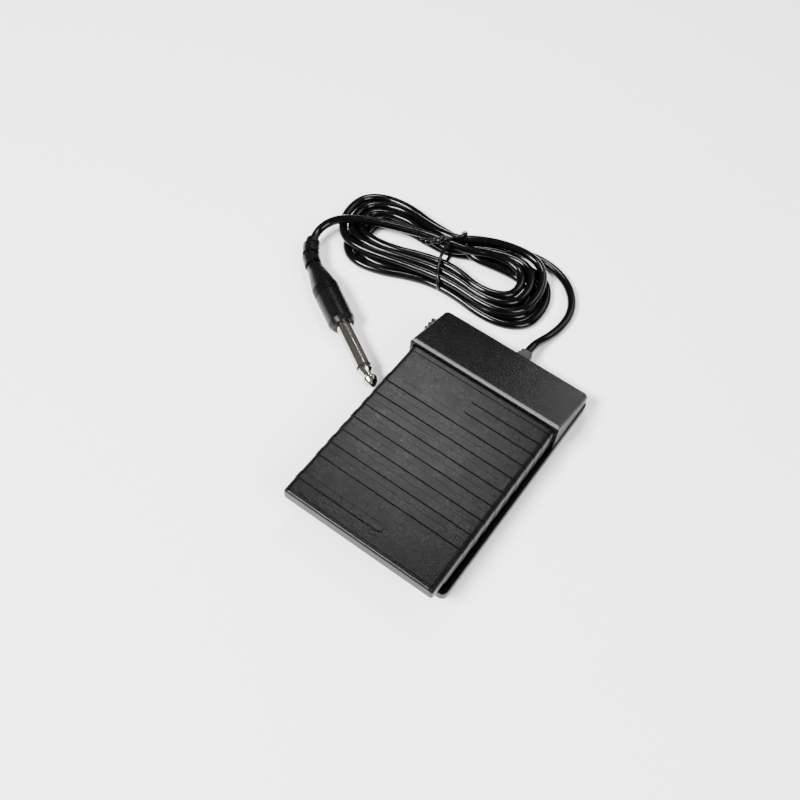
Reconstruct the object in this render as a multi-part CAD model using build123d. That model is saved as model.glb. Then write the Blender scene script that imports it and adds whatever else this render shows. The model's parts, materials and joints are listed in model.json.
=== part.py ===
from build123d import *
from math import cos, radians, sin, tan
import os

# Sustain pedal: a compact moulded foot switch with a sprung treadle, a polarity switch on its side,
# and a thin lead wound into a tied hank that ends in a 6.35 mm mono jack plug.
# Lengths are in millimetres. The origin is the centre of the rubber mat's underside; +X is right,
# +Y is towards the back, where the lead leaves, and +Z is up. The hinge runs along X.

# ---- Driving dimensions ------------------------------------------------------------------------
BASE_WIDTH = 66.5
BASE_FRONT = -48.3
BASE_BACK = 50.0
BASE_CORNER = 2.2
BASE_RISE = 0.6            # the mat stands this far below the tray
FLOOR_THICK = 1.8
RIM_TOP = 5.0
RIM_WALL = 1.5

MAT_WIDTH = 46.0
MAT_LENGTH = 76.0
MAT_THICK = 1.2

HOUSING_WIDTH = 65.4
HOUSING_FRONT = 23.5
HOUSING_BACK = 49.5
RIDGE_Y = 24.6
RIDGE_TOP = 18.3
HOUSING_BACK_TOP = 10.3
HOUSING_WALL = 1.4
RIDGE_ROUND = 0.9
LIP_UNDERSIDE = 16.9

TREADLE_WIDTH = 62.6
TREADLE_TOP = 16.6
TREADLE_WALL = 1.6
TREADLE_PLATE = 2.0
TREADLE_REAR = 25.2
REAR_WIDTH = 61.6          # where it goes in under the housing
TREADLE_ROUND = 2.0
NOSE_ROUND = 1.0
NOSE_FRONT = -54.0
NOSE_BOTTOM = 11.4
SKIRT_FRONT_Z = 9.2
SKIRT_REAR_Z = 6.6
BAR_HEIGHT = 0.35
BAR_SIDE = 0.12
FRONT_GROOVE = (0.4, 0.3)   # the groove along each bar's front edge: width, depth
BACK_GROOVE = (0.25, 0.2)
BAR_WIDTH = 3.3
BAR_PITCH = 6.68
BAR_COUNT = 7
FIRST_BAR_Y = 5.85
SHORT_BAR_WIDTH = 2.7
SHORT_BARS = [(16.65, 1.35, 1), (11.45, 1.35, 1), (-45.85, 3.65, -1)]   # y, round end's x, side

HINGE_Y = 30.0
HINGE_Z = 9.0
HINGE_RANGE = 4.5          # degrees from rest to the stop
PIN_RADIUS = 1.5
PIN_HALF = 29.4
RUNNING_CLEARANCE = 0.05
BARREL_RADIUS = 3.0
BARREL_HALF = 24.0
POST_INNER = 25.0
POST_OUTER = 28.0

SPRING_Y = -8.0
SPRING_RADIUS = 4.2
SPRING_WIRE = 0.9
SPRING_TURNS = 5.5

STOP_X = 18.0
STOP_Y = -38.0
STOP_PAD_RADIUS = 3.0
STOP_PAD_THICK = 2.0
TAIL_X = 14.0
TAIL_WIDTH = 6.0
TAIL_END = 38.0
TAIL_BOTTOM = 7.8
TAIL_TOP = 10.0

BOARD_THICK = 1.2
BOARD_RISE = 0.5
SWITCH_Y = 19.0
SWITCH_LENGTH = 12.8
SWITCH_WIDTH = 5.8
SWITCH_HEIGHT = 6.0
PLUNGER_X = 2.2
PLUNGER_TOP = 11.2

SLIDER_Y = 41.0
SLIDER_Z = 7.0
SLIDER_TRAVEL = 2.5
KNOB_LENGTH = 7.0
KNOB_OUT = 35.6

CORD_RADIUS = 1.8
GLAND_X = 2.5
GLAND_Z = 5.4
GLAND_END = 54.3

HANK_HEIGHT = 7.0
TIE_WIDTH = 2.6
TIE_THICK = 0.5

PLUG_HEADING = -31.0       # degrees from +X, seen from above
HANDLE_END = (-62.0, 20.75)
HANDLE_LENGTH = 32.0
HANDLE_RADIUS = 5.5
BOOT_TURN = 37.0           # degrees
BOOT_LENGTH = 14.8
BOOT_CORE = 2.3
# The boot's half rings on either side of it: where each starts and ends, and its radius.
BOOT_RINGS = {1: [(0.0, 1.1, 2.9), (2.9, 8.0, 3.55), (8.9, 14.0, 3.7)],
              -1: [(0.9, 2.4, 3.1), (3.4, 7.6, 3.45), (9.3, 12.8, 3.4)]}
JACK_RADIUS = 3.175
SLEEVE_LENGTH = 21.1
INSULATOR_LENGTH = 1.2
TIP_LENGTH = 8.7

# ---- Worked out from the driving dimensions ----------------------------------------------------
FLOOR_TOP = BASE_RISE + FLOOR_THICK
BOARD_BOTTOM = FLOOR_TOP + BOARD_RISE
BOARD_TOP = BOARD_BOTTOM + BOARD_THICK
PLATE_UNDER = TREADLE_TOP - TREADLE_PLATE
HALF_TREADLE = TREADLE_WIDTH / 2
HALF_HOUSING = HOUSING_WIDTH / 2
HALF_BASE = BASE_WIDTH / 2
STOP_DROP = (HINGE_Y - STOP_Y + STOP_PAD_RADIUS) * sin(radians(HINGE_RANGE))
STOP_PAD_TOP = PLATE_UNDER - STOP_DROP - 0.1
HOUSING_SCREWS = [(-15.5, 44.8), (22.0, 44.8), (26.6, 36.8)]
BOARD_SCREWS = [(-17.5, 17.0), (-17.5, 38.5), (5.5, 25.0)]
CLAMP_SCREWS = [GLAND_X - 4.3, GLAND_X + 4.3]
CLAMP_Y = 45.0

# ---- The lead's route where it isn't wound, and the hank's outline ------------------------------
LEAD_ROUTE = [
    (GLAND_X, GLAND_END, GLAND_Z), (GLAND_X, 58.8, GLAND_Z), (3.2, 64.2, 3.5), (4.7, 70.4, 2.1),
    (5.9, 77.4, 1.9), (5.4, 85.2, 1.9), (2.0, 92.6, 1.9), (-4.4, 98.6, 1.9), (-12.6, 101.8, 1.9),
    (-21.6, 102.2, 1.9), (-30.6, 99.6, 1.9), (-38.6, 95.2, 1.9)]
PLUG_ROUTE = [
    (-60.0, 78.4, 8.5), (-68.0, 76.8, 8.9), (-77.5, 74.5, 8.9), (-86.0, 71.4, 8.9),
    (-93.5, 68.5, 8.7), (-98.5, 64.2, 7.6), (-100.8, 59.1, 6.1)]
PLUG_LEAD_END = 5.4        # its last run, straight into the boot
HANK_CENTRE = (-50.5, 76.0)
HANK_TILT = 9.5
HANK_OUTLINE = [
    (-50.5, 9.0), (-42.0, 19.4), (-21.0, 18.6), (0.0, 14.4), (21.0, 17.8), (38.0, 18.2),
    (48.0, 8.0), (48.0, -10.0), (38.0, -20.0), (20.0, -19.4), (0.0, -14.8), (-21.0, -19.6),
    (-38.0, -20.4), (-49.5, -9.0)]
TIE_HALF_SPAN = 15.3


# ---- Small helpers -----------------------------------------------------------------------------
def block(x0, x1, y0, y1, z0, z1):
    """A box given by its two ends along each axis."""
    centre = Pos((x0 + x1) / 2, (y0 + y1) / 2, (z0 + z1) / 2)
    return centre * Box(x1 - x0, y1 - y0, z1 - z0)


def round_block(x0, x1, y0, y1, z0, z1, radius):
    """A box whose upright edges are rounded."""
    shape = block(x0, x1, y0, y1, z0, z1)
    return fillet(shape.edges().filter_by(Axis.Z), radius)


def post(x, y, z0, z1, radius):
    """An upright cylinder."""
    return Pos(x, y, (z0 + z1) / 2) * Cylinder(radius, z1 - z0)


def rod_x(y, z, x0, x1, radius):
    """A cylinder along X."""
    return Pos((x0 + x1) / 2, y, z) * Rot(0, 90, 0) * Cylinder(radius, x1 - x0)


def rod_y(x, z, y0, y1, radius):
    """A cylinder along Y."""
    return Pos(x, (y0 + y1) / 2, z) * Rot(90, 0, 0) * Cylinder(radius, y1 - y0)


def side_profile(points, half_width):
    """A solid whose outline in the YZ plane is given, as wide to each side of the middle."""
    outline = make_face(Polyline(*[(0, y, z) for y, z in points], close=True))
    return extrude(outline, half_width, dir=(1, 0, 0), both=True)


def turned(points, plane):
    """A solid of revolution from (radius, height) points, standing on a plane."""
    outline = make_face(Polyline(*[(r, 0, h) for r, h in points], close=True))
    return plane * revolve(outline, Axis.Z, 360)


def arc_radii(route):
    """The largest arc that each corner of a route has room for."""
    radii = []
    for before, corner, after in zip(route, route[1:], route[2:]):
        first = Vector(*corner) - Vector(*before)
        second = Vector(*after) - Vector(*corner)
        shorter = min(first.length, second.length)
        radii.append(0.45 * shorter / tan(radians(first.get_angle(second)) / 2))
    return radii


def tube(route, radius):
    """A round tube along straight runs joined by tangent arcs."""
    radii = arc_radii(route)
    path = FilletPolyline(*route, radius=radii)
    start = Plane(origin=path @ 0, z_dir=path % 0)
    solid = sweep(start * Circle(radius), path=path)
    ratio = solid.volume / (path.length * 3.14159265 * radius ** 2)
    print("tube: smallest arc %.1f mm, volume over section times length %.4f" % (min(radii), ratio))
    return solid


def screw(x, y, head_bottom, head_height, head_radius, shank_end, shank_radius, slot_up=True):
    """A pan-head screw with a cross recess; the head's far side faces away from the shank."""
    head = post(x, y, head_bottom, head_bottom + head_height, head_radius)
    join = head_bottom if slot_up else head_bottom + head_height
    shank = post(x, y, min(join, shank_end), max(join, shank_end), shank_radius)
    recess_z = head_bottom + head_height if slot_up else head_bottom
    depth = 0.5 * head_height
    long_arm = Box(1.3 * head_radius, 0.3 * head_radius, 2 * depth)
    cross = long_arm + Rot(0, 0, 90) * long_arm
    return head + shank - Pos(x, y, recess_z) * cross


# ---- Base --------------------------------------------------------------------------------------
def hinge_post(side):
    """One of the two uprights that hold the hinge pin."""
    low, high = sorted((side * POST_INNER, side * POST_OUTER))
    upright = block(low, high, HINGE_Y - 3.2, HINGE_Y + 3.2, FLOOR_TOP - 0.5, HINGE_Z)
    return upright + rod_x(HINGE_Y, HINGE_Z, low, high, 3.2)


def base_tray():
    tray = round_block(-HALF_BASE, HALF_BASE, BASE_FRONT, BASE_BACK, BASE_RISE, RIM_TOP, BASE_CORNER)
    tray = fillet(tray.faces().sort_by(Axis.Z)[-1].edges(), 0.5)
    tray = chamfer(tray.faces().sort_by(Axis.Z)[0].edges(), 0.4)
    inside = HALF_BASE - RIM_WALL
    tray -= round_block(-inside, inside, BASE_FRONT + RIM_WALL, BASE_BACK - RIM_WALL,
                        FLOOR_TOP, RIM_TOP + 1, BASE_CORNER - RIM_WALL)
    root = FLOOR_TOP - 0.5
    for side in (-1, 1):
        tray += hinge_post(side)
        tray += post(side * STOP_X, STOP_Y, root, STOP_PAD_TOP - STOP_PAD_THICK, STOP_PAD_RADIUS + 0.6)
    tray += post(0, SPRING_Y, root, FLOOR_TOP + 3.2, SPRING_RADIUS - SPRING_WIRE - 0.7)
    tray += post(TAIL_X, TAIL_END - 2.6, root, TAIL_BOTTOM - 1.6, 2.6)
    for x, y in BOARD_SCREWS:
        tray += post(x, y, root, BOARD_BOTTOM, 2.0)
    for x, y in HOUSING_SCREWS:
        tray += post(x, y, root, RIM_TOP - 0.6, 3.6)
    tray += block(GLAND_X - 5.9, GLAND_X + 5.9, CLAMP_Y - 1.4, CLAMP_Y + 1.4, root, 3.2)
    tray -= rod_x(HINGE_Y, HINGE_Z, -PIN_HALF, PIN_HALF, PIN_RADIUS)
    for x, y in HOUSING_SCREWS:
        tray -= post(x, y, 0, RIM_TOP, 1.3) + post(x, y, 0, 2.0, 2.5)
    for x, y in BOARD_SCREWS:
        tray -= post(x, y, 1.5, BOARD_TOP, 0.8)
    for x in CLAMP_SCREWS:
        tray -= post(x, CLAMP_Y, 1.6, 4.0, 0.8)
    tray -= block(GLAND_X - 2.3, GLAND_X + 2.3, BASE_BACK - 2.2, BASE_BACK + 1, 3.1, RIM_TOP + 1)
    recess = MAT_THICK
    tray -= round_block(-MAT_WIDTH / 2 - 0.2, MAT_WIDTH / 2 + 0.2, -MAT_LENGTH / 2 - 0.2,
                        MAT_LENGTH / 2 + 0.2, 0, recess, 3.2)
    return tray


def anti_slip_mat():
    mat = round_block(-MAT_WIDTH / 2, MAT_WIDTH / 2, -MAT_LENGTH / 2, MAT_LENGTH / 2, 0, MAT_THICK, 3.0)
    groove_pitch = MAT_LENGTH / 10
    for index in range(1, 10):
        y = -MAT_LENGTH / 2 + index * groove_pitch
        mat -= block(-MAT_WIDTH / 2 + 3, MAT_WIDTH / 2 - 3, y - 0.6, y + 0.6, -0.1, 0.35)
    return mat


# ---- Rear housing ------------------------------------------------------------------------------
def housing_shape():
    """The housing's outside, closed."""
    points = [(HOUSING_FRONT, RIM_TOP), (HOUSING_FRONT, RIDGE_TOP), (RIDGE_Y, RIDGE_TOP),
              (HOUSING_BACK, HOUSING_BACK_TOP), (HOUSING_BACK, RIM_TOP)]
    shape = side_profile(points, HALF_HOUSING)
    back_corners = shape.edges().filter_by(Axis.Z).group_by(Axis.Y)[-1]
    shape = fillet(back_corners, BASE_CORNER)
    roof = shape.faces().filter_by(lambda face: 0.3 < face.normal_at().Z < 0.99)
    roof_edges = roof.sort_by(Axis.Z)[-1].edges()
    rims = roof_edges.filter_by(lambda edge: edge.center().Y > RIDGE_Y + 1)
    shape = fillet(rims, 1.3)
    ridge = shape.edges().filter_by(Axis.X).filter_by(lambda edge: edge.center().Z > RIDGE_TOP - 0.1)
    return fillet(ridge.sort_by(Axis.Y)[0], RIDGE_ROUND)


def rear_housing():
    outside = housing_shape()
    slope = (RIDGE_TOP - HOUSING_BACK_TOP) / (HOUSING_BACK - RIDGE_Y)
    inner_back = HOUSING_BACK - 1.6
    inner_back_z = RIDGE_TOP - slope * (inner_back - RIDGE_Y) - 1.6
    cavity = side_profile([(HOUSING_FRONT - 1, RIM_TOP - 1), (HOUSING_FRONT - 1, LIP_UNDERSIDE),
                           (RIDGE_Y + 0.3, LIP_UNDERSIDE), (inner_back, inner_back_z),
                           (inner_back, RIM_TOP - 1)], HALF_HOUSING - HOUSING_WALL)
    cavity = fillet(cavity.edges().filter_by(Axis.Z).group_by(Axis.Y)[-1], BASE_CORNER - HOUSING_WALL)
    shell = outside - cavity
    for x, y in HOUSING_SCREWS:
        shell += post(x, y, RIM_TOP, RIDGE_TOP, 2.6) & outside
        shell += post(x, y, RIM_TOP - 0.5, RIM_TOP + 0.2, 2.6)
        shell -= post(x, y, RIM_TOP - 1, 9.2, 1.0)
    slot_front = SLIDER_Y - KNOB_LENGTH / 2 - SLIDER_TRAVEL - 0.4
    slot_back = SLIDER_Y + KNOB_LENGTH / 2 + 0.4
    shell -= block(-HALF_HOUSING - 1, -HALF_HOUSING + 2, slot_front, slot_back,
                   RIM_TOP - 1, SLIDER_Z + 1.5)
    shell -= block(GLAND_X - 2.3, GLAND_X + 2.3, inner_back - 1, HOUSING_BACK + 1, RIM_TOP - 1, 7.7)
    return shell


# ---- Treadle -----------------------------------------------------------------------------------
def skirt_outline(top):
    """The treadle seen from its side, with its top at a given height."""
    behind_rim = BASE_FRONT + RIM_WALL + 0.7
    return [(TREADLE_REAR, top), (NOSE_FRONT, top), (NOSE_FRONT, NOSE_BOTTOM),
            (behind_rim, NOSE_BOTTOM), (behind_rim, SKIRT_FRONT_Z),
            (HOUSING_FRONT - 1.5, SKIRT_REAR_Z), (TREADLE_REAR, SKIRT_REAR_Z + 1.2)]


def treadle_shape():
    """The treadle's outside, closed, with its rounded nose and sides."""
    shape = side_profile(skirt_outline(TREADLE_TOP), HALF_TREADLE)
    shape = fillet(shape.edges().filter_by(Axis.Y).group_by(Axis.Z)[-1], TREADLE_ROUND)
    front = shape.faces().sort_by(Axis.Y)[0].edges()
    return fillet(front.filter_by(lambda edge: edge.center().Z > NOSE_BOTTOM + 0.1), NOSE_ROUND)


def strap(y0, y1):
    """One raised bar, which runs over the top and down both sides."""
    wide = HALF_TREADLE + BAR_SIDE
    bar = block(-wide, wide, y0, y1, 0, TREADLE_TOP + BAR_HEIGHT)
    shoulders = bar.edges().filter_by(Axis.Y).group_by(Axis.Z)[-1]
    bar = fillet(shoulders, TREADLE_ROUND + 0.1)
    bar &= side_profile(skirt_outline(TREADLE_TOP + 2), wide + 1)
    core = HALF_TREADLE - 0.6
    return bar - block(-core, core, y0 - 1, y1 + 1, -1, TREADLE_TOP - 0.5)


def short_bar(y, x_round, side):
    """A bar with one round end, which runs from there to one side of the treadle."""
    half = SHORT_BAR_WIDTH / 2
    low, high = bar_reach(x_round, side)
    body = strap(y - half, y + half) & block(low, high, y - half, y + half, 0, TREADLE_TOP + 2)
    return body + post(x_round, y, TREADLE_TOP - 0.5, TREADLE_TOP + BAR_HEIGHT, half)


def bar_reach(x_round, side):
    """Where a short bar starts and ends along X."""
    return sorted((x_round, side * (HALF_TREADLE + 2)))


def edge_grooves(y, half, low, high):
    """The two fine grooves that edge a bar, along part of the treadle's width."""
    (front_width, front_depth), (back_width, back_depth) = FRONT_GROOVE, BACK_GROOVE
    front = block(low, high, y - half - front_width, y - half, TREADLE_TOP - front_depth, TREADLE_TOP + 1)
    back = block(low, high, y + half, y + half + back_width, TREADLE_TOP - back_depth, TREADLE_TOP + 1)
    return front + back


def round_groove(y, x_round, side):
    """The groove round a short bar's round end."""
    half = SHORT_BAR_WIDTH / 2
    depth = BACK_GROOVE[1]
    ring = post(x_round, y, TREADLE_TOP - depth, TREADLE_TOP + 1, half + BACK_GROOVE[0])
    ring -= post(x_round, y, TREADLE_TOP - 1, TREADLE_TOP + 2, half)
    low, high = sorted((x_round, x_round - side * 3))
    return ring & block(low, high, y - 3, y + 3, TREADLE_TOP - 1, TREADLE_TOP + 2)


def add_bars(shape):
    """Cuts the grooves and adds the bars between them."""
    wide = HALF_TREADLE + 1
    for index in range(BAR_COUNT):
        y = FIRST_BAR_Y - index * BAR_PITCH
        shape -= edge_grooves(y, BAR_WIDTH / 2, -wide, wide)
        shape += strap(y - BAR_WIDTH / 2, y + BAR_WIDTH / 2)
    for y, x_round, side in SHORT_BARS:
        shape -= edge_grooves(y, SHORT_BAR_WIDTH / 2, *bar_reach(x_round, side))
        shape -= round_groove(y, x_round, side)
        shape += short_bar(y, x_round, side)
    return shape + strap(HOUSING_FRONT - 2.6, HOUSING_FRONT - 0.8)


def treadle():
    shape = treadle_shape()
    inner = HALF_TREADLE - TREADLE_WALL
    shape -= block(-inner, inner, NOSE_FRONT + 2.0, TREADLE_REAR + 1, 0, PLATE_UNDER)
    shape = add_bars(shape)
    line = HALF_TREADLE - 1.2
    shape -= block(-line, line, NOSE_FRONT + 1.5, NOSE_FRONT + 1.85, TREADLE_TOP - 0.3, TREADLE_TOP + 1)
    for side in (-1, 1):
        low, high = sorted((side * REAR_WIDTH / 2, side * (HALF_TREADLE + 1)))
        shape -= block(low, high, HOUSING_FRONT - 0.7, TREADLE_REAR + 1, 0, TREADLE_TOP + 1)
    for side in (-1, 1):
        shape += block(side * 12 - 0.6, side * 12 + 0.6, -50, 14, PLATE_UNDER - 3.0, PLATE_UNDER + 0.5)
    shape += post(0, SPRING_Y, PLATE_UNDER - 2.4, PLATE_UNDER + 0.5, SPRING_RADIUS - SPRING_WIRE - 0.7)
    web = side_profile([(22.6, PLATE_UNDER + 0.5), (TREADLE_REAR, PLATE_UNDER + 0.5),
                        (HINGE_Y + 2.2, HINGE_Z + 0.9), (HINGE_Y - 1.6, HINGE_Z - 1.4)], BARREL_HALF)
    shape += web + rod_x(HINGE_Y, HINGE_Z, -BARREL_HALF, BARREL_HALF, BARREL_RADIUS)
    shape += block(TAIL_X - TAIL_WIDTH / 2, TAIL_X + TAIL_WIDTH / 2, HINGE_Y, TAIL_END,
                   TAIL_BOTTOM, TAIL_TOP)
    tip = 0.8
    tip_z = PLUNGER_TOP + 0.05 + tip
    shape += block(PLUNGER_X - 3, PLUNGER_X + 3, SWITCH_Y - tip, SWITCH_Y + tip, tip_z, PLATE_UNDER + 0.5)
    shape += rod_x(SWITCH_Y, tip_z, PLUNGER_X - 3, PLUNGER_X + 3, tip)
    return shape - rod_x(HINGE_Y, HINGE_Z, -HALF_TREADLE + 2, HALF_TREADLE - 2,
                         PIN_RADIUS + RUNNING_CLEARANCE)


# ---- Hinge, spring and stops -------------------------------------------------------------------
def clip_place(side):
    """The middle of one clip along the pin."""
    return side * (POST_OUTER + 0.5)


def hinge_pin():
    pin = rod_x(HINGE_Y, HINGE_Z, -PIN_HALF, PIN_HALF, PIN_RADIUS)
    pin = chamfer(pin.edges(), 0.3)
    for side in (-1, 1):
        x = clip_place(side)
        ring = rod_x(HINGE_Y, HINGE_Z, x - 0.35, x + 0.35, PIN_RADIUS + 1)
        pin -= ring - rod_x(HINGE_Y, HINGE_Z, x - 0.35, x + 0.35, PIN_RADIUS - 0.4)
    return pin


def hinge_clips():
    clips = []
    for side in (-1, 1):
        x = clip_place(side)
        clip = rod_x(HINGE_Y, HINGE_Z, x - 0.3, x + 0.3, 3.0)
        clip -= rod_x(HINGE_Y, HINGE_Z, x - 1, x + 1, PIN_RADIUS - 0.38)
        clip -= block(x - 1, x + 1, HINGE_Y - 1.0, HINGE_Y + 1.0, HINGE_Z, HINGE_Z + 4)
        clips.append(clip)
    return Compound(children=clips)


def return_spring():
    height = PLATE_UNDER - FLOOR_TOP - SPRING_WIRE
    coil = Helix(pitch=height / SPRING_TURNS, height=height, radius=SPRING_RADIUS)
    start = Plane(origin=coil @ 0, z_dir=coil % 0)
    wire = sweep(start * Circle(SPRING_WIRE / 2 - 0.02), path=coil, is_frenet=True)
    return Pos(0, SPRING_Y, FLOOR_TOP + SPRING_WIRE / 2) * wire


def press_stop_pads():
    low = STOP_PAD_TOP - STOP_PAD_THICK
    pads = [fillet(post(side * STOP_X, STOP_Y, low, STOP_PAD_TOP, STOP_PAD_RADIUS).edges()
                   .sort_by(Axis.Z)[-1], 0.5) for side in (-1, 1)]
    return Compound(children=pads)


def rest_stop_pad():
    pad = post(TAIL_X, TAIL_END - 2.6, TAIL_BOTTOM - 1.6, TAIL_BOTTOM - 0.05, 2.4)
    return fillet(pad.edges().sort_by(Axis.Z)[-1], 0.3)


# ---- Circuit board and switches ----------------------------------------------------------------
def terminal_places():
    """Where the switch's three pins go through the board."""
    return [(-5.0, SWITCH_Y), (0.0, SWITCH_Y), (5.0, SWITCH_Y)]


def circuit_board():
    main = block(-20, 8, 14, 40.9, BOARD_BOTTOM, BOARD_TOP)
    arm = block(-29.8, -20, 34.6, 46, BOARD_BOTTOM, BOARD_TOP)
    board = main + arm
    for x, y in BOARD_SCREWS:
        board -= post(x, y, 0, 10, 1.0)
    for x, y in terminal_places():
        board -= post(x, y, 0, 10, 0.6)
    return board


def board_screws():
    return Compound(children=[screw(x, y, BOARD_TOP, 1.0, 1.7, 1.5, 0.8) for x, y in BOARD_SCREWS])


def microswitch_body():
    half_x = SWITCH_LENGTH / 2
    half_y = SWITCH_WIDTH / 2
    top = BOARD_TOP + SWITCH_HEIGHT
    body = block(-half_x, half_x, SWITCH_Y - half_y, SWITCH_Y + half_y, BOARD_TOP, top)
    body = chamfer(body.edges().filter_by(Axis.Y).group_by(Axis.Z)[-1], 0.5)
    for x in (-3.25, 3.25):
        body -= rod_y(x, BOARD_TOP + 1.7, SWITCH_Y - half_y - 1, SWITCH_Y + half_y + 1, 1.0)
    return body - block(PLUNGER_X - 1.55, PLUNGER_X + 1.55, SWITCH_Y - 0.75, SWITCH_Y + 0.75,
                        PLUNGER_TOP - 3.4, top + 1)


def microswitch_plunger():
    stem = block(PLUNGER_X - 1.45, PLUNGER_X + 1.45, SWITCH_Y - 0.65, SWITCH_Y + 0.65,
                 PLUNGER_TOP - 2.2, PLUNGER_TOP)
    return fillet(stem.edges().filter_by(Axis.X).group_by(Axis.Z)[-1], 0.3)


def microswitch_terminals():
    pins = [block(x - 0.4, x + 0.4, y - 0.2, y + 0.2, FLOOR_TOP + 0.15, BOARD_TOP)
            for x, y in terminal_places()]
    return Compound(children=pins)


def polarity_switch_body():
    centre = SLIDER_Y - SLIDER_TRAVEL / 2
    body = block(-29.6, -25.2, centre - 4.3, centre + 4.3, BOARD_TOP, BOARD_TOP + 4.4)
    slot = block(-30, -27.6, centre - 3.2, centre + 3.2, SLIDER_Z - 0.8, SLIDER_Z + 0.8)
    return chamfer(body.edges().filter_by(Axis.Z), 0.3) - slot


def polarity_slider():
    half = KNOB_LENGTH / 2
    root = -HALF_HOUSING - 0.4
    knob = block(-KNOB_OUT + 1.4, root + 1.2, SLIDER_Y - half, SLIDER_Y + half,
                 SLIDER_Z - 1.3, SLIDER_Z + 1.3)
    pitch = KNOB_LENGTH / 3
    for index in range(3):
        y = SLIDER_Y - half + (index + 0.5) * pitch
        tooth = block(-KNOB_OUT, -KNOB_OUT + 1.6, y - 0.75, y + 0.75, SLIDER_Z - 1.3, SLIDER_Z + 1.3)
        knob += chamfer(tooth.edges().filter_by(Axis.Z).group_by(Axis.X)[0], 0.35)
    return knob + block(root + 1, -28.0, SLIDER_Y - 1.5, SLIDER_Y + 1.5, SLIDER_Z - 0.7, SLIDER_Z + 0.7)


# ---- Lead inside the housing -------------------------------------------------------------------
def lead_wires():
    wires = []
    for side in (-1, 1):
        near = GLAND_X + side * 0.8
        far = GLAND_X + side * 2.2
        wires.append(tube([(near, 43.0, GLAND_Z), (near, 41.6, GLAND_Z), (far, 39.2, GLAND_Z + 1.0),
                           (far, 39.2, BOARD_TOP)], 0.55))
    return Compound(children=wires)


def cord_inner_end():
    return rod_y(GLAND_X, GLAND_Z, 43.0, GLAND_END, CORD_RADIUS)


def cord_clamp():
    clamp = block(GLAND_X - 5.9, GLAND_X + 5.9, CLAMP_Y - 1.4, CLAMP_Y + 1.4, 3.2, 8.0)
    clamp -= rod_y(GLAND_X, GLAND_Z, CLAMP_Y - 2, CLAMP_Y + 2, CORD_RADIUS)
    clamp -= block(GLAND_X - CORD_RADIUS, GLAND_X + CORD_RADIUS, CLAMP_Y - 2, CLAMP_Y + 2, 3, GLAND_Z)
    for x in CLAMP_SCREWS:
        clamp -= post(x, CLAMP_Y, 3, 9, 0.9)
    return clamp


def clamp_screws():
    return Compound(children=[screw(x, CLAMP_Y, 8.0, 0.9, 1.35, 1.6, 0.8) for x in CLAMP_SCREWS])


def housing_screws():
    return Compound(children=[screw(x, y, 0.8, 1.2, 2.3, 8.8, 1.0, slot_up=False)
                              for x, y in HOUSING_SCREWS])


def cable_gland():
    def step(half, y0, y1, radius):
        shape = block(GLAND_X - half, GLAND_X + half, y0, y1, GLAND_Z - half, GLAND_Z + half)
        return fillet(shape.edges().filter_by(Axis.Y), radius)
    flange = step(2.7, 46.5, 47.7, 0.4)
    neck = step(2.2, 47.7, BASE_BACK + 0.05, 0.3)
    collar = step(2.8, BASE_BACK + 0.05, BASE_BACK + 2.1, 0.7)
    nose = step(2.45, BASE_BACK + 2.1, GLAND_END, 1.3)
    gland = flange + neck + collar + nose
    return gland - rod_y(GLAND_X, GLAND_Z, 46, GLAND_END + 1, CORD_RADIUS)


# ---- Lead outside: run, hank, tie, run ---------------------------------------------------------
def hank_plane(height=0.0):
    """The hank's own frame: X along the hank, Y across it."""
    lengthways = (cos(radians(HANK_TILT)), sin(radians(HANK_TILT)), 0)
    return Plane(origin=(*HANK_CENTRE, height), x_dir=lengthways, z_dir=(0, 0, 1))


def tie_band(inset, width=TIE_WIDTH):
    """The block that the tie's band bounds, drawn in by an inset, across the hank's waist."""
    span = 2 * (TIE_HALF_SPAN - inset)
    middle = (HANK_HEIGHT + 2 * TIE_THICK) / 2
    height = 2 * (middle - inset)
    band = Pos(0, 0, middle) * Box(width, span, height)
    return fillet(band.edges().filter_by(Axis.X), 2.4 - inset)


def cord_hank():
    outline = FilletPolyline(*HANK_OUTLINE, radius=7.0, close=True)
    lift = 0.05
    coil = extrude(make_face(outline), HANK_HEIGHT - lift)
    coil = chamfer(coil.faces().sort_by(Axis.Z)[-1].edges(), 1.2)
    coil = Pos(0, 0, lift) * coil
    waist = tie_band(TIE_THICK + 0.02, TIE_WIDTH + 1)
    groove = Box(TIE_WIDTH + 0.2, 60, 30) - waist
    return hank_plane() * (coil - groove)


def twist_tie():
    loop = tie_band(0) - tie_band(TIE_THICK, TIE_WIDTH + 1)
    knot = Pos(-1.6, -1.0, HANK_HEIGHT + 1.5) * Box(3.4, 2.4, 1.4)
    tail = Pos(-6.0, -1.4, HANK_HEIGHT + 1.5) * Rot(0, 0, 8) * Box(6.0, 1.0, 0.8)
    return hank_plane() * (loop + knot + tail)


# ---- Plug --------------------------------------------------------------------------------------
def plug_axis():
    return Vector(cos(radians(PLUG_HEADING)), sin(radians(PLUG_HEADING)), 0)


def plug_plane(distance):
    """A plane across the plug at a distance past the handle's tail."""
    end = Vector(HANDLE_END[0], HANDLE_END[1], HANDLE_RADIUS)
    origin = end + plug_axis() * (distance - HANDLE_LENGTH)
    return Plane(origin=origin, x_dir=(0, 0, 1), z_dir=plug_axis())


def boot_radius():
    return BOOT_LENGTH / radians(BOOT_TURN)


def boot_point(distance):
    """The point and heading at a distance along the boot's bend, from its tail."""
    heading = PLUG_HEADING - BOOT_TURN * (1 - distance / BOOT_LENGTH)
    tail = plug_plane(0).origin
    radius = boot_radius()
    centre = tail + Vector(-sin(radians(PLUG_HEADING)), cos(radians(PLUG_HEADING)), 0) * radius
    offset = Vector(sin(radians(heading)), -cos(radians(heading)), 0) * radius
    return centre + offset, Vector(cos(radians(heading)), sin(radians(heading)), 0)


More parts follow.
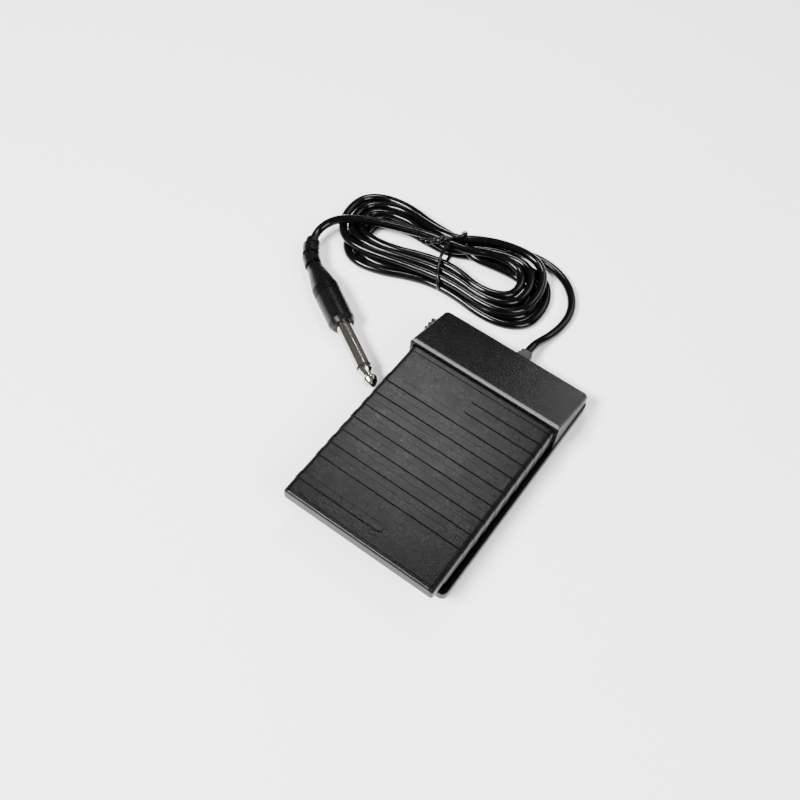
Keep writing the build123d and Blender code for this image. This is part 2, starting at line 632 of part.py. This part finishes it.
def half_ring(start, end, radius, side):
    """Half of a thick ring round the boot, square to its bend."""
    origin, heading = boot_point((start + end) / 2)
    half = Pos(0, side * 5, 0) * Box(20, 10, 20)
    return Plane(origin=origin, x_dir=(0, 0, 1), z_dir=heading) * (Cylinder(radius, end - start) & half)


def plug_boot():
    points = [boot_point(share * BOOT_LENGTH)[0] for share in (0, 0.5, 1)]
    bend = ThreePointArc(*points)
    boot = sweep(Plane(origin=bend @ 0, z_dir=bend % 0) * Circle(BOOT_CORE), path=bend)
    for side, rings in BOOT_RINGS.items():
        for start, end, radius in rings:
            boot += half_ring(start, end, radius, side)
    return boot


def plug_handle():
    outline = [(0, 0), (3.3, 0), (3.5, 2.0), (4.6, 7.0), (HANDLE_RADIUS, 12.0)]
    groove = 0.35
    for index in range(4):
        start = 12.3 + index * 1.05
        outline += [(HANDLE_RADIUS, start), (HANDLE_RADIUS - groove, start),
                    (HANDLE_RADIUS - groove, start + 0.45), (HANDLE_RADIUS, start + 0.45)]
    outline += [(HANDLE_RADIUS, HANDLE_LENGTH - 1.9), (4.5, HANDLE_LENGTH), (0, HANDLE_LENGTH)]
    return turned(outline, plug_plane(0)) - plug_plane(HANDLE_LENGTH) * Cylinder(2.9, 16)


def jack_sleeve():
    start = HANDLE_LENGTH
    return turned([(2.0, -8.0), (2.9, -8.0), (2.9, 0), (JACK_RADIUS, 0), (JACK_RADIUS, SLEEVE_LENGTH),
                   (2.0, SLEEVE_LENGTH)], plug_plane(start))


def jack_insulator():
    start = HANDLE_LENGTH
    end = SLEEVE_LENGTH + INSULATOR_LENGTH
    return turned([(1.1, -8.0), (2.0, -8.0), (2.0, SLEEVE_LENGTH), (3.0, SLEEVE_LENGTH), (3.0, end),
                   (1.1, end)], plug_plane(start))


def jack_tip():
    foot = HANDLE_LENGTH + SLEEVE_LENGTH + INSULATOR_LENGTH
    profile = [(0, -30.3), (1.1, -30.3), (1.1, 0), (2.95, 0), (2.95, 0.9), (2.15, 2.1), (2.15, 2.9),
               (3.1, 4.7), (3.1, 5.3), (2.5, 6.7), (1.5, 7.9), (0.8, 8.5), (0, TIP_LENGTH)]
    return turned(profile, plug_plane(foot))


def cord_plug_lead():
    end, heading = boot_point(0)
    print("plug lead's last two points", end - heading * PLUG_LEAD_END, end)
    return tube(PLUG_ROUTE + [tuple(end - heading * PLUG_LEAD_END), tuple(end)], CORD_RADIUS)


def cord_lead():
    return tube(LEAD_ROUTE, CORD_RADIUS)


PARTS = [
    base_tray, anti_slip_mat, rear_housing, housing_screws, treadle, hinge_pin, hinge_clips,
    return_spring, press_stop_pads, rest_stop_pad, circuit_board, board_screws, microswitch_body,
    microswitch_plunger, microswitch_terminals, polarity_switch_body, polarity_slider, lead_wires,
    cord_inner_end, cord_clamp, clamp_screws, cable_gland, cord_lead, cord_hank, cord_plug_lead,
    twist_tie, plug_boot, plug_handle, jack_sleeve, jack_insulator, jack_tip]


def main():
    os.makedirs("parts", exist_ok=True)
    for make in PARTS:
        export_step(make(), "parts/%s.step" % make.__name__)


main()
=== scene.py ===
"""The looks of a compact sustain pedal: its materials, its tied lead, a pale floor, light and a camera.

Lines and routes are in millimetres, and all other lengths in metres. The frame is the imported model's
own: the origin is the centre of the mat's underside, +Y is the back, where the lead leaves, and +Z is
up.
"""

import json
from math import cos, pi, radians, sin

import bpy
from mathutils import Matrix, Vector


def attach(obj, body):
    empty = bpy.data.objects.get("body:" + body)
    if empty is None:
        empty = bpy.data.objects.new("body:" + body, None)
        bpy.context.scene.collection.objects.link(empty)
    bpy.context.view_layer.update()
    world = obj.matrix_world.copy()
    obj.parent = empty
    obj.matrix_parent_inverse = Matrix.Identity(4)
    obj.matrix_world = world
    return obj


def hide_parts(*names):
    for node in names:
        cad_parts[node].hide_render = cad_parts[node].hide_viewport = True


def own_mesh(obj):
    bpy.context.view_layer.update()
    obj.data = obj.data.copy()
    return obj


MM = 0.001
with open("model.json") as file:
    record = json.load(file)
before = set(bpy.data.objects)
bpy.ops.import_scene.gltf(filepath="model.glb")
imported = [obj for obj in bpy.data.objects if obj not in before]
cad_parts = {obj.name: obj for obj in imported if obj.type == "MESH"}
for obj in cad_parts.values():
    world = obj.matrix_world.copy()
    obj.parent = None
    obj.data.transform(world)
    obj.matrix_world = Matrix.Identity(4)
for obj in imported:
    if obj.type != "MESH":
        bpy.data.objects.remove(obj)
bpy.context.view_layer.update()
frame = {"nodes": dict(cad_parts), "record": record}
nodes = frame["nodes"]

# ---- The lead: sizes and the route that it lies in -----------------------------------------------
CORD_RADIUS = 1.8 * MM
GLAND_EXIT = (2.5, 54.3, 5.4)
LEAD_ROUTE = [
    GLAND_EXIT, (2.5, 58.8, 5.4), (3.2, 64.2, 3.5), (4.7, 70.4, 2.1), (5.9, 77.4, 1.9),
    (5.4, 85.2, 1.9), (2.0, 92.6, 1.9), (-4.4, 98.6, 1.9), (-12.6, 101.8, 1.9),
    (-21.6, 102.2, 1.9), (-30.6, 99.6, 1.9), (-38.6, 95.2, 1.9)]
PLUG_ROUTE = [
    (-60.0, 78.4, 9.0), (-67.5, 76.2, 8.9), (-76.0, 73.2, 8.9), (-84.0, 69.8, 9.0),
    (-91.0, 66.0, 8.9), (-96.4, 62.2, 8.3), (-99.6, 57.6, 7.0), (-100.45, 52.18, 5.6),
    (-98.875, 48.2907, 5.5)]
HANK_CENTRE = (-50.5, 76.0)
HANK_TILT = radians(9.5)
LOW_LAYER = 1.85
TOP_LAYER = 5.3
OVER_TOP = 8.9
# Each turn: how far its left and right ends reach along the hank, how far its left and right lobes
# bulge to the far and near side, its far and near distance at the waist, and its height.
TURNS = [
    (-42.5, 45.6, 16.0, -18.2, 13.2, -18.8, 12.2, -13.0, LOW_LAYER),
    (-38.6, 41.8, 12.2, -14.5, 9.4, -15.1, 8.7, -9.6, LOW_LAYER),
    (-35.2, 38.2, 7.8, -11.0, 6.6, -11.7, 5.2, -6.2, LOW_LAYER),
    (-47.2, 41.6, 17.6, -13.2, 16.4, -15.6, 11.2, -11.4, TOP_LAYER),
    (-43.2, 37.2, 13.8, -10.0, 12.6, -12.2, 7.4, -7.6, TOP_LAYER),
    (-39.4, 33.2, 10.3, -7.0, 9.3, -9.0, 3.6, -3.8, TOP_LAYER)]
CROSSING = 4                                        # the turn that starts over an earlier one
HUMP = (0.5, 1.4, 2.6, 3.5, 3.6, 2.6, 1.2, 0.3)     # how much higher its points are there
CLIMB = 4                                           # points over which a turn reaches the next height


def on_hank(along, across, height):
    """A point in the pedal's frame from the hank's own frame, in millimetres."""
    x = HANK_CENTRE[0] + along * cos(HANK_TILT) - across * sin(HANK_TILT)
    y = HANK_CENTRE[1] + along * sin(HANK_TILT) + across * cos(HANK_TILT)
    return (x, y, height)


def lobe(end, entry, leave, far, near):
    """Half a turn, from one side of the waist round an end of the hank to the other side."""
    middle = (far + near) / 2
    bulge = far - near
    return [
        (end * 0.26, entry * 0.72 + far * 0.28), (end * 0.52, far * 0.98), (end * 0.76, far),
        (end * 0.94, middle + 0.37 * bulge), (end, middle + 0.13 * bulge),
        (end, middle - 0.15 * bulge), (end * 0.92, middle - 0.4 * bulge),
        (end * 0.75, near * 1.02), (end * 0.5, near * 0.98),
        (end * 0.25, leave * 0.7 + near * 0.3)]


def turn_points(turn, next_height):
    """One turn of the hank, which climbs to the next one's height over its last few points."""
    left, right, left_far, left_near, right_far, right_near, waist_far, waist_near, height = turn
    flat = [(0, waist_far)] + lobe(left, waist_far, waist_near, left_far, left_near)
    flat += [(0, waist_near)] + lobe(right, waist_near, waist_far, right_near, right_far)
    points = []
    for index, (along, across) in enumerate(flat):
        share = max(0, index - (len(flat) - CLIMB)) / CLIMB
        points.append(on_hank(along, across, height + (next_height - height) * share))
    return points


def hank_points():
    """All the turns, one after the other, with a hump where one crosses another."""
    heights = [turn[-1] for turn in TURNS[1:]] + [OVER_TOP]
    turns = [turn_points(turn, height) for turn, height in zip(TURNS, heights)]
    points = [point for turn in turns for point in turn]
    first = CROSSING * len(turns[0]) - len(HUMP) // 2
    for index, rise in enumerate(HUMP):
        x, y, z = points[first + index]
        points[first + index] = (x, y, z + rise)
    return points


def nurbs_line(name, points, radius, steps=10, rounds=5):
    """A smooth tube along control points given in millimetres."""
    data = bpy.data.curves.new(name, "CURVE")
    data.dimensions = "3D"
    data.resolution_u = steps
    data.bevel_depth = radius
    data.bevel_resolution = rounds
    data.use_fill_caps = True
    spline = data.splines.new("NURBS")
    spline.points.add(len(points) - 1)
    for control, (x, y, z) in zip(spline.points, points):
        control.co = (x * MM, y * MM, z * MM, 1)
    spline.use_endpoint_u = True
    spline.order_u = 3
    piece = bpy.data.objects.new(name, data)
    bpy.context.scene.collection.objects.link(piece)
    return piece


# ---- Camera --------------------------------------------------------------------------------------
def aim_camera():
    """Looks down on the pedal over its front right corner, a little rolled."""
    azimuth = radians(30.0)
    elevation = radians(57.03)
    roll = radians(6.69)
    distance = 0.38357
    target = Vector((-0.02595, 0.00925, 0))
    back = Vector((sin(azimuth) * cos(elevation), -cos(azimuth) * cos(elevation), sin(elevation)))
    level = Vector((0, 0, 1)).cross(back).normalized()
    upward = back.cross(level)
    right = cos(roll) * level + sin(roll) * upward
    up = -sin(roll) * level + cos(roll) * upward
    data = bpy.data.cameras.new("camera")
    data.lens = 45.05
    data.sensor_width = 36
    data.clip_start = 0.01
    data.clip_end = 20
    camera = bpy.data.objects.new("camera", data)
    bpy.context.scene.collection.objects.link(camera)
    turn = Matrix((right, up, back)).transposed()
    camera.matrix_world = Matrix.Translation(target + back * distance) @ turn.to_4x4()
    bpy.context.scene.camera = camera


# ---- Material helpers ----------------------------------------------------------------------------
MIX_FIRST = 6         # where the Mix node keeps its two colours and its result
MIX_SECOND = 7
MIX_RESULT = 2


class Paint:
    """A node material with short calls for what the materials below share."""

    def __init__(self, name):
        self.material = bpy.data.materials.new(name)
        self.material.use_nodes = True
        self.tree = self.material.node_tree
        self.shader = self.tree.nodes["Principled BSDF"]
        self.place = self.tree.nodes.new("ShaderNodeTexCoord").outputs["Object"]

    def set(self, **values):
        for key, value in values.items():
            self.shader.inputs[key.replace("_", " ")].default_value = value
        return self

    def link(self, source, socket):
        self.tree.links.new(source, self.shader.inputs[socket])

    def stretched(self, scale):
        """The object's coordinates, scaled apart along each axis."""
        node = self.tree.nodes.new("ShaderNodeMapping")
        node.inputs["Scale"].default_value = scale
        self.tree.links.new(self.place, node.inputs["Vector"])
        return node.outputs["Vector"]

    def noise(self, grain, detail=3.0, roughness=0.55, place=None):
        """Cloudy noise whose features are about one grain (in metres) across."""
        node = self.tree.nodes.new("ShaderNodeTexNoise")
        node.inputs["Scale"].default_value = 1 / grain
        node.inputs["Detail"].default_value = detail
        node.inputs["Roughness"].default_value = roughness
        self.tree.links.new(place or self.place, node.inputs["Vector"])
        return node.outputs["Fac"]

    def cells(self, grain, feature="F1", randomness=1.0):
        """Pebbles about one grain across."""
        node = self.tree.nodes.new("ShaderNodeTexVoronoi")
        node.feature = feature
        node.inputs["Scale"].default_value = 1 / grain
        node.inputs["Randomness"].default_value = randomness
        self.tree.links.new(self.place, node.inputs["Vector"])
        return node.outputs["Distance"]

    def ramp(self, source, low, high, from_low=0.3, from_high=0.7):
        """A number that runs from low to high as the source does."""
        node = self.tree.nodes.new("ShaderNodeMapRange")
        node.inputs["From Min"].default_value = from_low
        node.inputs["From Max"].default_value = from_high
        node.inputs["To Min"].default_value = low
        node.inputs["To Max"].default_value = high
        self.tree.links.new(source, node.inputs["Value"])
        return node.outputs["Result"]

    def shades(self, source, dark, light, low=0.35, high=0.65):
        """A colour between two as the source runs from low to high."""
        node = self.tree.nodes.new("ShaderNodeValToRGB")
        node.color_ramp.elements[0].position = low
        node.color_ramp.elements[0].color = (*dark, 1)
        node.color_ramp.elements[1].position = high
        node.color_ramp.elements[1].color = (*light, 1)
        self.tree.links.new(source, node.inputs["Fac"])
        return node.outputs["Color"]

    def height(self):
        """How high above the floor a point is, in metres."""
        node = self.tree.nodes.new("ShaderNodeSeparateXYZ")
        self.tree.links.new(self.place, node.inputs["Vector"])
        return node.outputs["Z"]

    def mix(self, share, first, second):
        """The first colour, turning into a fixed second one as the share goes to 1."""
        node = self.tree.nodes.new("ShaderNodeMix")
        node.data_type = "RGBA"
        self.tree.links.new(share, node.inputs["Factor"])
        self.tree.links.new(first, node.inputs[MIX_FIRST])
        node.inputs[MIX_SECOND].default_value = (*second, 1)
        return node.outputs[MIX_RESULT]

    def math(self, operation, first, second):
        node = self.tree.nodes.new("ShaderNodeMath")
        node.operation = operation
        for socket, value in zip(node.inputs, (first, second)):
            if isinstance(value, (int, float)):
                socket.default_value = value
            else:
                self.tree.links.new(value, socket)
        return node.outputs["Value"]

    def bump(self, height, depth, strength=1.0, under=None):
        """Relief that is depth metres tall, on top of an earlier one if there is one."""
        node = self.tree.nodes.new("ShaderNodeBump")
        node.inputs["Distance"].default_value = depth
        node.inputs["Strength"].default_value = strength
        self.tree.links.new(height, node.inputs["Height"])
        if under:
            self.tree.links.new(under, node.inputs["Normal"])
        self.tree.links.new(node.outputs["Normal"], self.shader.inputs["Normal"])
        return node.outputs["Normal"]


# A pale band painted along the housing's ridge: a painted highlight that stands in for the ridge's
# reflection.
PAINTED_HIGHLIGHT_TONE = (0.16, 0.16, 0.16)
PAINTED_HIGHLIGHT_BAND = 0.3 * MM
PAINTED_HIGHLIGHT_FROM = 17.95 * MM       # just below the housing's ridge


def moulded_plastic(name, dark, light, grain, relief, rough_low, rough_high, highlight_from=None):
    """Moulded plastic with an even spark grain, and a pale painted highlight above a given height."""
    paint = Paint(name).set(Specular_IOR_Level=0.13)
    speckle = paint.noise(grain, detail=4.0, roughness=0.65)
    patches = paint.noise(9 * MM, detail=3.0)
    tone = paint.shades(speckle, dark, light)
    if highlight_from:
        # Painted highlight: the grain turns pale in a thin band just below the ridge's top.
        highlight_mask = paint.ramp(paint.height(), 0.0, 1.0, highlight_from, highlight_from + PAINTED_HIGHLIGHT_BAND)
        share = paint.math("MULTIPLY", highlight_mask, paint.ramp(speckle, 0.35, 1.0))
        tone = paint.mix(share, tone, PAINTED_HIGHLIGHT_TONE)
    paint.link(tone, "Base Color")
    rough = paint.math("ADD", paint.ramp(speckle, rough_low, rough_high),
                       paint.ramp(patches, -0.03, 0.03))
    paint.link(rough, "Roughness")
    pits = paint.bump(paint.cells(0.8 * grain), relief, 0.5)
    paint.bump(speckle, relief, 1.0, under=pits)
    return paint.material


def soft_rubber(name, tone):
    """Dull rubber with a faint bloom."""
    paint = Paint(name).set(Specular_IOR_Level=0.3)
    bloom = paint.noise(4 * MM, detail=6.0)
    fine = paint.noise(0.25 * MM, detail=3.0)
    light = tuple(1.5 * value for value in tone)
    paint.link(paint.shades(bloom, tone, light), "Base Color")
    paint.link(paint.ramp(bloom, 0.62, 0.8), "Roughness")
    paint.bump(fine, 0.02 * MM)
    return paint.material


def smooth_vinyl(name, tone, rough, relief, grain):
    """Extruded or moulded vinyl: smooth, with slow waves and a little dust in its gloss."""
    paint = Paint(name).set(Specular_IOR_Level=0.2)
    waves = paint.noise(grain, detail=2.0)
    dust = paint.noise(0.35 * MM, detail=4.0, roughness=0.7)
    light = tuple(2 * value for value in tone)
    paint.link(paint.shades(dust, tone, light, 0.5, 0.75), "Base Color")
    paint.link(paint.math("ADD", paint.ramp(waves, rough - 0.04, rough + 0.04),
                          paint.ramp(dust, 0.0, 0.05, 0.5, 0.8)), "Roughness")
    paint.bump(waves, relief)
    return paint.material


def plated_metal(name, tone, rough, streak):
    """Plated metal with fine turning marks and slight tarnish."""
    paint = Paint(name).set(Metallic=1.0)
    marks = paint.noise(0.12 * MM, detail=2.0, place=paint.stretched(streak))
    tarnish = paint.noise(3 * MM, detail=5.0, roughness=0.6)
    dull = tuple(0.72 * value for value in tone)
    paint.link(paint.shades(tarnish, dull, tone, 0.3, 0.6), "Base Color")
    paint.link(paint.math("ADD", paint.ramp(marks, rough - 0.03, rough + 0.05),
                          paint.ramp(tarnish, 0.06, -0.02)), "Roughness")
    paint.bump(marks, 0.004 * MM)
    return paint.material


def solder_mask(name):
    """A green circuit board with the traces faintly raised under its mask."""
    paint = Paint(name).set(Specular_IOR_Level=0.55)
    traces = paint.cells(3.2 * MM, feature="DISTANCE_TO_EDGE", randomness=0.2)
    lines = paint.ramp(traces, 1.0, 0.0, 0.02, 0.06)
    paint.link(paint.shades(lines, (0.012, 0.09, 0.035), (0.03, 0.2, 0.07), 0.2, 0.8), "Base Color")
    paint.link(paint.ramp(paint.noise(2 * MM), 0.22, 0.4), "Roughness")
    paint.bump(lines, 0.035 * MM)
    return paint.material


def wire_sleeve(name):
    """A thin red sleeve with a faint grain."""
    paint = Paint(name).set(Specular_IOR_Level=0.5)
    grain = paint.noise(0.5 * MM, detail=3.0)
    paint.link(paint.shades(grain, (0.3, 0.015, 0.012), (0.45, 0.03, 0.02)), "Base Color")
    paint.link(paint.ramp(grain, 0.28, 0.42), "Roughness")
    paint.bump(grain, 0.01 * MM)
    return paint.material


def make_materials():
    """One material for each kind of surface, by its slot's name."""
    recipes = {
        "black_plastic": (moulded_plastic, (0.0003, 0.0003, 0.0003), (0.003, 0.003, 0.0031),
                          0.42 * MM, 0.04 * MM, 0.24, 0.36),
        # grained_plastic's last number is the height from which its painted highlight runs along the
        # ridge.
        "grained_plastic": (moulded_plastic, (0.0002, 0.0002, 0.0002), (0.004, 0.004, 0.0041),
                            0.7 * MM, 0.4 * MM, 0.16, 0.3, PAINTED_HIGHLIGHT_FROM),
        "rubber": (soft_rubber, (0.014, 0.014, 0.014)),
        "steel": (plated_metal, (0.55, 0.55, 0.57), 0.28, (1, 1, 12)),
        "board": (solder_mask,),
        "switch_plastic": (moulded_plastic, (0.02, 0.02, 0.022), (0.05, 0.05, 0.054),
                           0.3 * MM, 0.02 * MM, 0.38, 0.5),
        "plunger_plastic": (moulded_plastic, (0.35, 0.02, 0.015), (0.5, 0.05, 0.03),
                            0.3 * MM, 0.02 * MM, 0.35, 0.5),
        "plated_pins": (plated_metal, (0.72, 0.68, 0.56), 0.25, (1, 1, 6)),
        "wire_sleeve": (wire_sleeve,),
        "cord_jacket": (smooth_vinyl, (0.001, 0.001, 0.001), 0.14, 0.06 * MM, 6 * MM),
        "tie_plastic": (smooth_vinyl, (0.002, 0.002, 0.002), 0.2, 0.05 * MM, 1.5 * MM),
        "plug_plastic": (smooth_vinyl, (0.0015, 0.0015, 0.0015), 0.28, 0.03 * MM, 0.8 * MM),
        "jack_metal": (plated_metal, (0.62, 0.58, 0.52), 0.12, (14, 14, 14)),
        "insulator_plastic": (smooth_vinyl, (0.01, 0.01, 0.01), 0.25, 0.01 * MM, MM)}
    return {slot: make(slot, *details) for slot, (make, *details) in recipes.items()}


def dress(piece, material):
    """Gives the piece this one material."""
    piece.data.materials.clear()
    piece.data.materials.append(material)


# ---- Edges of the CAD parts ----------------------------------------------------------------------
EDGE_ROUND = 0.16 * MM
EDGE_ANGLE = radians(35)


def soften_edges(piece):
    """Rounds the sharp edges a mould leaves, and shades the rest smooth."""
    for polygon in piece.data.polygons:
        polygon.use_smooth = True
    bevel = piece.modifiers.new("edge", "BEVEL")
    bevel.width = EDGE_ROUND
    bevel.segments = 2
    bevel.limit_method = "ANGLE"
    bevel.angle_limit = EDGE_ANGLE
    bevel.harden_normals = True
    bevel.use_clamp_overlap = True


def smooth_by_angle(piece):
    """Smooth shading that keeps the sharper edges."""
    piece.data.shade_smooth()
    piece.data.set_sharp_from_angle(angle=EDGE_ANGLE)


# ---- The twist tie -------------------------------------------------------------------------------
TIE_RADIUS = 0.75
TAIL_STEPS = 26
TAIL_SWING = 0.8
# The tie's loop in the hank's own frame: once round the waist, from its curled top end to where the
# tails start.
TIE_ROUTE = [
    (1.4, 6.4, 11.2), (3.2, 8.2, 12.2), (4.2, 10.4, 11.6), (2.6, 12.4, 9.6), (1.4, 14.6, 7.0),
    (0.8, 15.4, 3.8), (0.6, 14.0, 1.1), (0.4, 9.0, 0.85), (0.0, 0.0, 0.85), (1.2, -9.0, 0.85),
    (3.2, -14.2, 1.2), (3.6, -15.6, 3.6), (3.0, -14.8, 6.2), (1.4, -12.4, 8.3), (0.2, -9.0, 8.8),
    (-0.8, -5.0, 9.2), (-1.0, -1.0, 10.4), (-0.4, 2.6, 11.8)]


def tie_tail(phase):
    """One of the two wires of the twisted end, wound round each other."""
    points = []
    for index in range(TAIL_STEPS):
        share = index / (TAIL_STEPS - 1)
        along = -0.4 - 11.6 * share
        across = 2.8 - 4.2 * share + 0.8 * sin(2.2 * pi * share)
        height = 12.2 - 2.0 * share
        angle = phase + share * 5 * pi
        across += TAIL_SWING * cos(angle)
        height += TAIL_SWING * sin(angle)
        points.append(on_hank(along, across, height))
    return points


def make_tie(material):
    """The vinyl-covered wire that holds the hank, as three thin strands."""
    loop = [on_hank(*point) for point in TIE_ROUTE]
    strands = [nurbs_line("twist_tie_loop", loop, TIE_RADIUS * MM),
               nurbs_line("twist_tie_tail_a", tie_tail(0), TIE_RADIUS * MM),
               nurbs_line("twist_tie_tail_b", tie_tail(pi), TIE_RADIUS * MM)]
    for strand in strands:
        dress(strand, material)
        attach(strand, "base")
    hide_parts("twist_tie")
    return strands


# ---- The treadle's spring ------------------------------------------------------------------------
SPRING_AXIS_Y = -8.0
SPRING_FOOT = 2.4
SPRING_HEAD = 14.57
SPRING_RADIUS = 4.2
SPRING_WIRE = 0.44         # half the wire's thickness
SPRING_TURNS = 5.5
SPRING_STEPS = 16          # control points in a turn


def make_spring(material):
    """The coil below the treadle, as one fixed piece on the base."""
    swing = SPRING_RADIUS / cos(pi / SPRING_STEPS)
    rise = SPRING_HEAD - SPRING_FOOT - 2 * SPRING_WIRE
    count = int(SPRING_TURNS * SPRING_STEPS)
    points = []
    for index in range(count + 1):
        angle = 2 * pi * index / SPRING_STEPS
        height = SPRING_FOOT + SPRING_WIRE + rise * index / count
        points.append((swing * cos(angle), SPRING_AXIS_Y + swing * sin(angle), height))
    curve = nurbs_line("spring_line", points, SPRING_WIRE * MM, steps=4, rounds=3)
    graph = bpy.context.evaluated_depsgraph_get()
    mesh = bpy.data.meshes.new_from_object(curve.evaluated_get(graph))
    bpy.data.objects.remove(curve)
    spring = bpy.data.objects.new("spring_coil", mesh)
    bpy.context.scene.collection.objects.link(spring)
    for polygon in mesh.polygons:
        polygon.use_smooth = True
    dress(spring, material)
    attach(spring, "base")
    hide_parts("return_spring")
    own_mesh(spring)


# ---- Stage ---------------------------------------------------------------------------------------
def make_floor():
    """A plain pale sheet that runs far past the view."""
    size = 3.0
    data = bpy.data.meshes.new("floor")
    corners = [(-size, -size, 0), (size, -size, 0), (size, size, 0), (-size, size, 0)]
    data.from_pydata(corners, [], [(0, 1, 2, 3)])
    floor = bpy.data.objects.new("floor", data)
    bpy.context.scene.collection.objects.link(floor)
    paint = Paint("floor_paper").set(Base_Color=(0.97, 0.97, 0.97, 1), Specular_IOR_Level=0.2)
    paint.link(paint.ramp(paint.noise(30 * MM), 0.7, 0.8), "Roughness")
    dress(floor, paint.material)


def area_light(name, place, target, width, height, power):
    """A soft box that faces its target."""
    data = bpy.data.lights.new(name, "AREA")
    data.shape = "RECTANGLE"
    data.size = width
    data.size_y = height
    data.energy = power
    light = bpy.data.objects.new(name, data)
    bpy.context.scene.collection.objects.link(light)
    light.location = place
    aim = Vector(target) - Vector(place)
    light.rotation_mode = "QUATERNION"
    light.rotation_quaternion = aim.to_track_quat("-Z", "Y")


def light_scene():
    """A key at the front left, a small close light for the treadle's sheen, two fills, a surround."""
    middle = (-0.03, 0.02, 0)
    area_light("key", (-0.38, -0.76, 0.98), middle, 0.5, 0.3, 64)
    area_light("sheen", (-0.15, 0.25, 0.49), (0, -0.01, 0.016), 0.1, 0.1, 1.7)
    area_light("right_fill", (1.0, -0.2, 0.9), middle, 0.7, 0.7, 24)
    area_light("back_fill", (0.35, 0.95, 0.9), middle, 0.7, 0.5, 5)
    world = bpy.data.worlds.new("surround")
    world.use_nodes = True
    background = world.node_tree.nodes["Background"]
    background.inputs["Color"].default_value = (1, 1, 1, 1)
    background.inputs["Strength"].default_value = 0.12
    bpy.context.scene.world = world


# ---- Making --------------------------------------------------------------------------------------
aim_camera()
materials = make_materials()

cord = nurbs_line("cord", LEAD_ROUTE + hank_points() + PLUG_ROUTE, CORD_RADIUS)
dress(cord, materials["cord_jacket"])
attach(cord, "base")
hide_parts("cord_lead", "cord_hank", "cord_plug_lead")

tie_strands = make_tie(materials["tie_plastic"])

slots = {row["node"]: row["material_slot"] for row in frame["record"]["subparts"]}
for name, piece in nodes.items():
    dress(piece, materials[slots[name]])
    smooth_by_angle(piece)
for name in ("treadle", "rear_housing", "base_tray"):
    soften_edges(nodes[name])

make_spring(materials["steel"])

make_floor()
light_scene()
